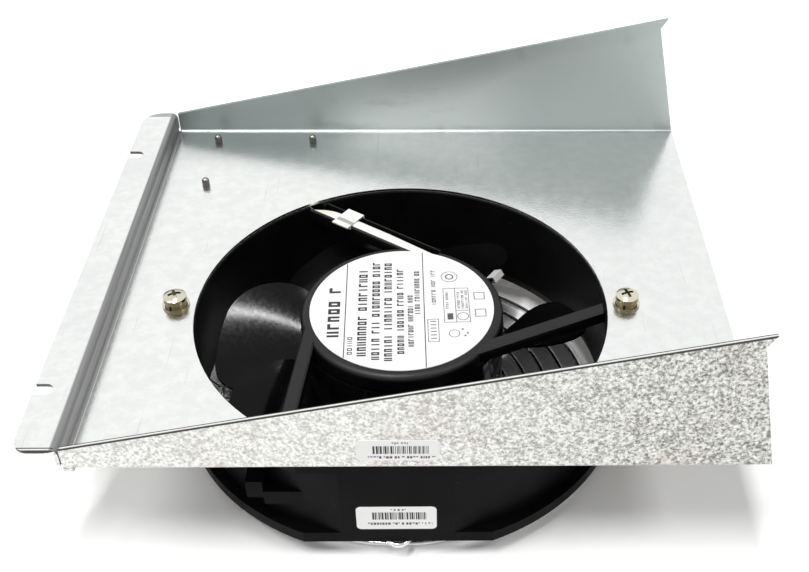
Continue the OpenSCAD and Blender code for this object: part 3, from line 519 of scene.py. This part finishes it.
EXIT_DEG = 145.2
EXIT_S = 80.0
CORD_D = 3.8
SLEEVE_OFF = 31.45
LEAD_Z, COIL_Z = -2.1, -44.0
COIL_MID = Vector((-73.84, 84.28, COIL_Z))
COIL_R, COIL_PITCH, COIL_FROM, COIL_TURN = 24, 4.8, 100, 450
CURL_R, CURL_TURN = 9.5, 100
# The lead's way from its exit to the coil: dx, dy, share of the drop
DROP = (
    (-6.6, 5.3, 0.04), (-9.6, 9.3, 0.14), (-11.1, 14.8, 0.29), (-10.6, 20.8, 0.47),
    (-10.1, 26.8, 0.66), (-10.6, 31.8, 0.82), (-12.6, 35.8, 0.93), (-16.6, 37.8, 0.986),
)
# The sleeve's rings: s, near edge, far edge, top. It narrows and dips under the sheet at its end
SLEEVE_RINGS = (
    (8, 29.05, 33.0, -0.6), (24, 29.05, 33.6, -0.6), (30, 29.05, 33.85, -0.6),
    (54, 29.05, 33.85, -0.6), (57, 29.05, 33.75, -0.62), (59, 29.05, 33.5, -0.72),
    (62, 29.05, 32.6, -0.98), (65, 29.05, 31.3, -1.4), (67, 29.1, 30.6, -1.8),
    (69, 29.2, 31.4, -1.7), (72, 29.3, 33.2, -0.9), (80, 29.3, 33.6, -0.7),
)
SLEEVE_LOW = -3.55
# Below one, the power makes a ring's ellipse squarer
SQUARENESS = 0.6


def along_lead(s, off=SLEEVE_OFF, z=LEAD_Z):
    """A point of the lead's own frame: s out along the strut, off beside the axis."""
    a = math.radians(EXIT_DEG)
    return Vector((s * math.cos(a) + off * math.sin(a), s * math.sin(a) - off * math.cos(a), z))


def smooth_route(points, steps=6):
    """Catmull-Rom through the points."""
    ends = [2 * points[0] - points[1], *points, 2 * points[-1] - points[-2]]
    route = []
    for i in range(1, len(ends) - 2):
        a, b, c, d = ends[i - 1:i + 3]
        for k in range(steps):
            t = k / steps
            route.append(0.5 * (2 * b + (c - a) * t + (2 * a - 5 * b + 4 * c - d) * t * t
                                + (3 * b - a - 3 * c + d) * t ** 3))
    return [*route, points[-1]]


def coil_radius(turn):
    return COIL_R - COIL_PITCH * turn / 360


def lead_route():
    """From the exit down to the floor, inward around the coil, and by a tighter curl to the plug."""
    spiral = [COIL_MID + pol(coil_radius(a), COIL_FROM + a) for a in range(0, COIL_TURN + 1, 10)]
    curl_from = COIL_FROM + COIL_TURN
    curl_mid = COIL_MID + pol(coil_radius(COIL_TURN) - CURL_R, curl_from)
    curl = [curl_mid + pol(CURL_R, curl_from + a) for a in range(10, CURL_TURN + 1, 10)]
    head = pol(1, COIL_FROM + 90)
    start = spiral[0] - CORD_D * head
    tail = curl[-1] + CORD_D * pol(1, curl_from + CURL_TURN + 90)
    leave = along_lead(EXIT_S)
    drop = [leave + Vector((dx, dy, share * (COIL_Z - leave.z))) for dx, dy, share in DROP]
    return smooth_route([leave, *drop, start - 4.5 * head, start]) + spiral + curl + [tail]


def make_lead():
    route = lead_route()
    data = bpy.data.curves.new("free_lead", "CURVE")
    data.dimensions, data.bevel_depth, data.bevel_resolution = "3D", CORD_D / 2 * MM, 5
    data.use_fill_caps = True
    spline = data.splines.new("POLY")
    spline.points.add(len(route) - 1)
    for point, at in zip(spline.points, route):
        point.co = (*(at * MM), 1)
    spline.use_smooth = True
    data.materials.append(SLEEVE.mat)
    lead = add_object("free_lead", data)
    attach(lead, "housing")
    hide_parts("lead_cord", "lead_coil")


def make_sleeve(around=20):
    verts, faces = [], []
    for s, near, far, top in SLEEVE_RINGS:
        for k in range(around):
            c, w = math.cos(2 * math.pi * k / around), math.sin(2 * math.pi * k / around)
            u = math.copysign(abs(c) ** SQUARENESS, c) * (far - near) / 2
            v = math.copysign(abs(w) ** SQUARENESS, w) * (top - SLEEVE_LOW) / 2
            at = along_lead(s, (near + far) / 2 + u, (top + SLEEVE_LOW) / 2 + v)
            verts.append(tuple(at * MM))
    rings = len(SLEEVE_RINGS)
    for i in range(rings - 1):
        for k in range(around):
            j = (k + 1) % around
            faces.append((i * around + k, i * around + j, (i + 1) * around + j, (i + 1) * around + k))
    faces += [tuple(range(around)), tuple((rings - 1) * around + k for k in range(around))]
    sleeve = add_mesh("flat_sleeve", verts, faces, sleeve_end(), "housing", 50)
    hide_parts("lead_sleeve")


make_lead()
make_sleeve()


# Impeller blades: r from the axis, a around it from the blade's middle

BLADES, BLADE_DEG = 7, 12.1
BLADE_STEP = 360 / BLADES
ROOT_R, MID_R, TIP_R = 36.95, 55, 70.4
# Where its two edges lie, how the trailing one sweeps back outward, and the corners' radii
LEADING_DEG, TRAILING_DEG, TRAILING_SWEEP = -20.4, 22.2, 0.3
LEADING_CORNER, TRAILING_CORNER, ROOT_CORNER = 25, 14.5, 5
# The sheet's height at its middle, its fall and curve per degree, its rise outward
MID_Z, FALL, CURVE, RISE = -22.8, -0.495, 0.0015, 0.2


def tip_pull(r, c):
    """How far a corner of radius c at the tip draws the edge in."""
    return c - math.sqrt(max(0, c * c - (r - TIP_R + c) ** 2)) if r > TIP_R - c else 0


def root_pull(r, c=ROOT_CORNER):
    """The same at the root."""
    return c - math.sqrt(max(0, c * c - (ROOT_R + c - r) ** 2)) if r < ROOT_R + c else 0


def leading_deg(r):
    return LEADING_DEG + math.degrees((tip_pull(r, LEADING_CORNER) + root_pull(r)) / r)


def trailing_deg(r):
    swept = TRAILING_DEG + TRAILING_SWEEP * (r - MID_R)
    return swept - math.degrees((tip_pull(r, TRAILING_CORNER) + root_pull(r)) / r)


def blade_height(r, a):
    return MID_Z + FALL * a + CURVE * a * a + RISE * (r - MID_R)


def blade_mesh(turn, rows=40, cols=26, thick=1.2):
    """The sheet of one blade, thickened evenly, with the source's outline."""
    grid = []
    for i in range(rows + 1):
        # rows lie closer together toward the tip, where the corners are
        r = ROOT_R + (TIP_R - ROOT_R) * (1 - (1 - i / rows) ** 1.6)
        for j in range(cols + 1):
            a = leading_deg(r) + (trailing_deg(r) - leading_deg(r)) * j / cols
            grid.append((r, a))
    verts = []
    for side in (0.5, -0.5):
        for r, a in grid:
            slope = (FALL + 2 * CURVE * a) * 180 / math.pi / r
            z = blade_height(r, a) + side * thick * math.sqrt(1 + slope * slope)
            at = pol(r, a + turn)
            verts.append((at.x * MM, at.y * MM, z * MM))
    n, m = cols + 1, len(grid)
    faces = []
    for i in range(rows):
        for j in range(cols):
            c = i * n + j
            faces.append((c, c + 1, c + n + 1, c + n))
            faces.append((m + c, m + c + n, m + c + n + 1, m + c + 1))
    rim = ([i * n + cols for i in range(rows + 1)] + [rows * n + cols - j for j in range(1, cols + 1)]
           + [(rows - i) * n for i in range(1, rows + 1)] + list(range(1, cols)))
    for a, b in zip(rim, rim[1:] + rim[:1]):
        faces.append((a, m + a, m + b, b))
    return verts, faces


def make_blades():
    for k in range(BLADES):
        verts, faces = blade_mesh(BLADE_DEG + k * BLADE_STEP)
        sheet = add_mesh(f"impeller_blade_{k + 1}", verts, faces, BLADE, "rotor", 35)
        edge = sheet.modifiers.new("edge", "BEVEL")
        edge.width, edge.segments = 0.28 * MM, 2
        edge.limit_method, edge.angle_limit = "ANGLE", math.radians(50)
        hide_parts(f"blade_{k + 1}")


def edge_point(r, inward_deg=0):
    """A point of the first blade's leading edge, or so many degrees in from it."""
    a = leading_deg(r) + inward_deg
    at = pol(r, a)
    return Vector((at.x, at.y, blade_height(r, a)))


def make_trim_clip(w=5.6, reach=3.0, t=0.55, gap=1.5, back=0.4):
    """The small sheet clip on the second blade's leading edge."""
    r, half = (ROOT_R + TIP_R) / 2 - 4.2, 4.3
    mid = edge_point(r)
    along = (edge_point(r + half) - edge_point(r - half)).normalized()
    up = along.cross(edge_point(r, 4) - mid).normalized()
    inward = up.cross(along)
    turn = Matrix.Rotation(math.radians(BLADE_DEG + BLADE_STEP), 3, "Z")
    outline = [(-t - back, -gap / 2 - t), (reach, -gap / 2 - t), (reach, -gap / 2), (-back, -gap / 2),
               (-back, gap / 2), (reach, gap / 2), (reach, gap / 2 + t), (-t - back, gap / 2 + t)]
    verts = [tuple(turn @ (mid + along * side + inward * a + up * b) * MM)
             for side in (-w / 2, w / 2) for a, b in outline]
    n = len(outline)
    faces = [(k, (k + 1) % n, n + (k + 1) % n, n + k) for k in range(n)]
    # each end of the bent strip in three quads
    faces += [tuple(first + k for k in quad) for first in (0, n)
              for quad in ((0, 1, 2, 3), (0, 3, 4, 7), (4, 5, 6, 7))]
    clip = add_mesh("trim_clip", verts, faces, TRIM, "rotor", 30)
    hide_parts("balance_clip")


make_blades()
make_trim_clip()


# Print on the label and the stickers: marks that say nothing, in mm

LABEL_TOP, LABEL_R, LABEL_TURN = -0.2, 33.0, 2.13
STICKER_THICK = 0.15
# Columns of marks: middle, width, start, end, cell, stroke, seed
DARK_COLUMNS = (
    (-24.4, 4.2, -15.4, 15.6, 4.1, 1.1, 4), (-14.2, 3.2, -25.6, 26.4, 2.7, 0.74, 5),
    (-9.4, 2.8, -27.6, 28.4, 2.3, 0.66, 8), (-5.0, 2.8, -28.4, 28.6, 2.3, 0.66, 13),
    (-0.6, 2.4, -25.0, 26.2, 2.0, 0.58, 21), (3.0, 1.9, -21.4, 8.6, 1.5, 0.44, 34),
    (5.6, 1.9, -4.4, 21.6, 1.5, 0.44, 55), (-18.3, 1.7, -24.6, -13.4, 1.9, 0.36, 3),
    (11.6, 1.5, 0.6, 21.8, 1.5, 0.34, 7),
)
PALE_COLUMNS = (
    (16.4, 1.0, -1.6, 8.6, 1.0, 0.26, 2), (20.5, 0.9, -1.6, 8.8, 0.95, 0.24, 4),
    (22.0, 0.9, -1.6, 8.8, 0.95, 0.24, 6), (23.4, 0.8, -1.6, 8.8, 0.95, 0.2, 9),
)
# Circles: middle, radius, stroke
PALE_HOOPS = (
    (17.7, 16.7, 3.1, 0.26), (17.7, 16.7, 1.6, 0.5), (21.8, -6.0, 2.1, 0.26), (18.3, -15.1, 2.0, 0.26),
)
# Frames: two sides, two ends, stroke
PALE_FRAMES = ((15.0, 24.4, -9.2, 10.0, 0.24), (26.2, 30.2, 3.2, 7.2, 0.3), (26.2, 30.2, -6.4, -2.2, 0.3))
PALE_BARS = ((19.25, 19.5, -9.0, 9.8), (19.5, 24.2, -2.85, -2.6), (16.2, 18.3, -7.6, -4.2))
PALE_DOTS = ((21.3, -12.9), (22.1, -16.4), (23.0, -15.0))


class Print:
    """Flat marks on a surface: a plane point, two directions on it and a small lift off it."""

    def __init__(self, origin, across, along, lift=0.02):
        self.o, self.u, self.v = Vector(origin), Vector(across), Vector(along)
        self.o += self.u.cross(self.v) * lift
        self.verts, self.faces = [], []

    def quad(self, corners):
        base = len(self.verts)
        self.verts += [tuple((self.o + self.u * a + self.v * b) * MM) for a, b in corners]
        self.faces.append(tuple(range(base, base + len(corners))))

    def bar(self, a0, a1, b0, b1):
        self.quad([(a0, b0), (a1, b0), (a1, b1), (a0, b1)])

    def frame(self, a0, a1, b0, b1, w):
        self.bar(a0, a1, b0, b0 + w)
        self.bar(a0, a1, b1 - w, b1)
        self.bar(a0, a0 + w, b0 + w, b1 - w)
        self.bar(a1 - w, a1, b0 + w, b1 - w)

    def hoop(self, a, b, r, w, n=36):
        for k in range(n):
            p, q = 2 * math.pi * k / n, 2 * math.pi * (k + 1) / n
            self.quad([(a + reach * math.cos(turn), b + reach * math.sin(turn))
                       for reach, turn in ((r, p), (r, q), (r - w, q), (r - w, p))])

    def filler(self, a, width, b0, b1, cell, weight, seed):
        """A column of meaningless marks, in groups, standing where a printed line would."""
        rng = random.Random(seed)
        b, left = b0, rng.randint(4, 8)
        low, high, body = a - width / 2, a + width / 2, cell * 0.72
        while b + cell <= b1:
            if left == 0:
                left = rng.randint(3, 9)
                b += cell * 0.9
                continue
            left -= 1
            kind = rng.choice((0, 1, 2, 3, 3, 4))
            if kind == 0:
                self.bar(low, high, b, b + weight)
                self.bar(low, low + weight, b + weight, b + body)
            elif kind == 1:
                self.bar(low, high, b + body / 2 - weight / 2, b + body / 2 + weight / 2)
            else:
                self.bar(low, high, b, b + weight)
                self.bar(low, high, b + body - weight, b + body)
                if kind > 2:
                    self.bar(low, low + weight, b + weight, b + body - weight)
                if kind == 3:
                    self.bar(high - weight, high, b + weight, b + body - weight)
            b += cell

    def stripes(self, a0, a1, b0, b1, seed):
        """Bars of chance widths: a pattern that encodes nothing."""
        rng = random.Random(seed)
        a = a0
        while a < a1:
            w = rng.choice((0.2, 0.2, 0.42, 0.6))
            self.bar(a, min(a + w, a1), b0, b1)
            a += w + rng.choice((0.2, 0.2, 0.4))

    def dashes(self, a0, a1, b, h, seed):
        """A row of short dashes of chance widths, some of half height."""
        rng = random.Random(seed)
        a = a0
        while a < a1:
            w = rng.uniform(0.3, 0.9)
            self.bar(a, min(a + w, a1), b + rng.choice((0, 0, h * 0.5)), b + h)
            a += w + rng.choice((0.25, 0.25, 0.25, 0.7))

    def make(self, name, tree):
        add_mesh(name, self.verts, self.faces, tree, "housing")


def make_label_print():
    turn = math.radians(LABEL_TURN)
    across = (math.cos(turn), math.sin(turn), 0)
    along = (-math.sin(turn), math.cos(turn), 0)
    dark = Print((0, 0, LABEL_TOP), across, along)
    # two rules from rim to rim
    for u in (-20.3, 8.0):
        reach = math.sqrt(LABEL_R ** 2 - u * u)
        dark.bar(u - 0.17, u + 0.17, -reach, reach)
    for column in DARK_COLUMNS:
        dark.filler(*column)
    # a small box with three pairs of dashes
    dark.frame(9.0, 13.0, -19.2, -7.1, 0.22)
    for k in range(3):
        dark.bar(10.0, 12.1, -17.6 + 3.6 * k, -17.2 + 3.6 * k)
        dark.bar(10.0, 12.1, -15.8 + 3.6 * k, -15.4 + 3.6 * k)
    dark.make("label_print", INK)
    pale = Print((0, 0, LABEL_TOP), across, along)
    for column in PALE_COLUMNS:
        pale.filler(*column)
    for hoop in PALE_HOOPS:
        pale.hoop(*hoop)
    for frame_marks in PALE_FRAMES:
        pale.frame(*frame_marks)
    for bar in PALE_BARS:
        pale.bar(*bar)
    for u, v in PALE_DOTS:
        pale.bar(u - 0.35, u + 0.35, v - 0.35, v + 0.35)
    pale.make("label_print_pale", PALE_INK)


def make_sticker_print(name, centre, size, y, seed, rows):
    """A striped band between two rows of dashes; rows give their heights as shares."""
    (x, z), (w, h) = centre, size
    top, mid, low = rows
    corner = (x - w / 2, y - STICKER_THICK, z - h / 2)
    band = Print(corner, (1, 0, 0), (0, 0, 1))
    band.stripes(w * 0.2, w * 0.87, h * mid[0], h * mid[1], seed)
    band.make(name, INK)
    small = Print(corner, (1, 0, 0), (0, 0, 1))
    small.dashes(w * 0.43, w * 0.62, h * top[0], h * (top[1] - top[0]), seed + 1)
    small.dashes(w * 0.14, w * 0.95, h * low[0], h * (low[1] - low[0]), seed + 2)
    small.make(name + "_small", PALE_INK)


make_label_print()
make_sticker_print("bracket_sticker_print", (1.2, 8.8), (25.4, 8.9), -77.5, 11,
                   ((0.8, 0.9), (0.34, 0.72), (0.11, 0.22)))
make_sticker_print("frame_sticker_print", (-0.3, -26), (26, 11), -75.0, 17,
                   ((0.83, 0.91), (0.44, 0.76), (0.2, 0.3)))
